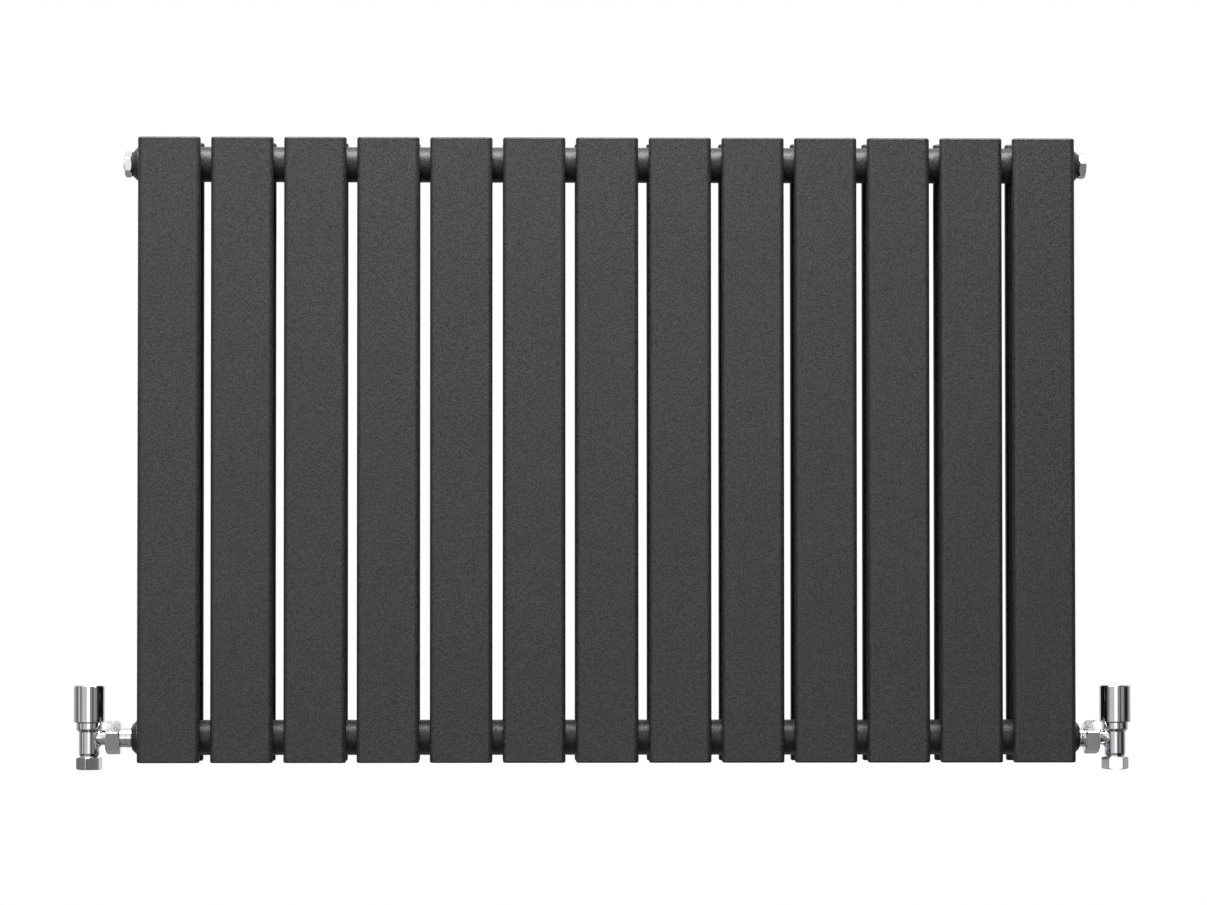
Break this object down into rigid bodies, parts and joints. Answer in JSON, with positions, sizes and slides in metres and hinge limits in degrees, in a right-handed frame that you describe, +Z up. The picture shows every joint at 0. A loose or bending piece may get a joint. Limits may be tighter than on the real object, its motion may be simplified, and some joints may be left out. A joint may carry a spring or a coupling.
{
  "type": "flat panel radiator with valves",
  "caption": "Wide wall-hung water radiator: two rows of tall flat panels on round header tubes, with an angled chrome valve at each lower corner.",
  "frame": {"origin": "on the wall plane, at the centre of the eight wall-screw holes, level with the middle of the panels", "axes": "+X to the right as seen from the room, +Y towards the wall, +Z up; the panels face -Y"},
  "size_m": [1.02, 0.099, 0.6074],
  "materials": {
    "coat": "fine-textured matt anthracite powder coat",
    "chrome": "polished",
    "brass": "machined",
    "rubber": "moulded",
    "zinc": "zinc plated",
    "bracket_paint": "satin black"
  },
  "bodies": {
    "radiator": {"front_panel_01": "coat", "front_panel_02": "coat", "front_panel_03": "coat", "front_panel_04": "coat", "front_panel_05": "coat", "front_panel_06": "coat", "front_panel_07": "coat", "front_panel_08": "coat", "front_panel_09": "coat", "front_panel_10": "coat", "front_panel_11": "coat", "front_panel_12": "coat", "front_panel_13": "coat", "rear_panel_01": "coat", "rear_panel_02": "coat", "rear_panel_03": "coat", "rear_panel_04": "coat", "rear_panel_05": "coat", "rear_panel_06": "coat", "rear_panel_07": "coat", "rear_panel_08": "coat", "rear_panel_09": "coat", "rear_panel_10": "coat", "rear_panel_11": "coat", "rear_panel_12": "coat", "rear_panel_13": "coat", "top_end_caps": "coat", "bottom_end_caps": "coat", "top_header": "coat", "bottom_header": "coat", "header_bosses": "coat", "hanging_lugs": "coat", "bleed_valve_body": "chrome", "blanking_plug": "chrome", "left_valve_body": "chrome", "left_tailpiece": "chrome", "right_valve_body": "chrome", "right_tailpiece": "chrome", "union_nuts": "chrome", "compression_nuts": "chrome", "left_bonnet": "brass", "right_bonnet": "brass", "olives": "brass", "plug_seals": "rubber", "gland_seals": "rubber", "hook_studs": "zinc", "hook_stud_nuts": "zinc", "wall_brackets": "bracket_paint"},
    "left_disc": {"left_jumper": "brass", "left_jumper_washer": "rubber"},
    "left_wheel": {"left_spindle": "brass", "left_handwheel": "chrome", "left_handwheel_screw": "zinc", "left_handwheel_cap": "chrome"},
    "right_disc": {"right_jumper": "brass", "right_jumper_washer": "rubber"},
    "right_stem": {"right_spindle": "brass"},
    "right_cap": {"right_lockshield_cap": "chrome"},
    "bleed_seat": {"bleed_seat_washer": "rubber"},
    "bleed_screw": {"bleed_pin": "brass"}
  },
  "joints": [
    {"name": "left_disc_lift", "type": "slide", "parent": "radiator", "child": "left_disc", "axis": [0, 0, 1], "range_m": [0, 0.004]},
    {"name": "left_wheel_turn", "type": "hinge", "parent": "left_disc", "child": "left_wheel", "pos_m": [-0.4979, -0.0695, -0.2765], "axis": [0, 0, 1], "range_deg": [0, 960]},
    {"name": "right_disc_lift", "type": "slide", "parent": "radiator", "child": "right_disc", "axis": [0, 0, 1], "range_m": [0, 0.004]},
    {"name": "right_stem_turn", "type": "hinge", "parent": "right_disc", "child": "right_stem", "pos_m": [0.4921, -0.0695, -0.2765], "axis": [0, 0, 1], "range_deg": [0, 960]},
    {"name": "right_cap_lift", "type": "slide", "parent": "radiator", "child": "right_cap", "axis": [0, 0, 1], "range_m": [0, 0.03]},
    {"name": "bleed_seat_slide", "type": "slide", "parent": "radiator", "child": "bleed_seat", "axis": [-1, 0, 0], "range_m": [0, 0.001]},
    {"name": "bleed_screw_turn", "type": "hinge", "parent": "bleed_seat", "child": "bleed_screw", "pos_m": [-0.4649, -0.0695, 0.2765], "axis": [-1, 0, 0], "range_deg": [0, 360]}
  ],
  "couplings": [
    {"joint": "left_wheel_turn", "follows": "left_disc_lift", "rad_per_m": 4188.8},
    {"joint": "right_stem_turn", "follows": "right_disc_lift", "rad_per_m": 4188.8},
    {"joint": "bleed_screw_turn", "follows": "bleed_seat_slide", "rad_per_m": 6283.2}
  ]
}
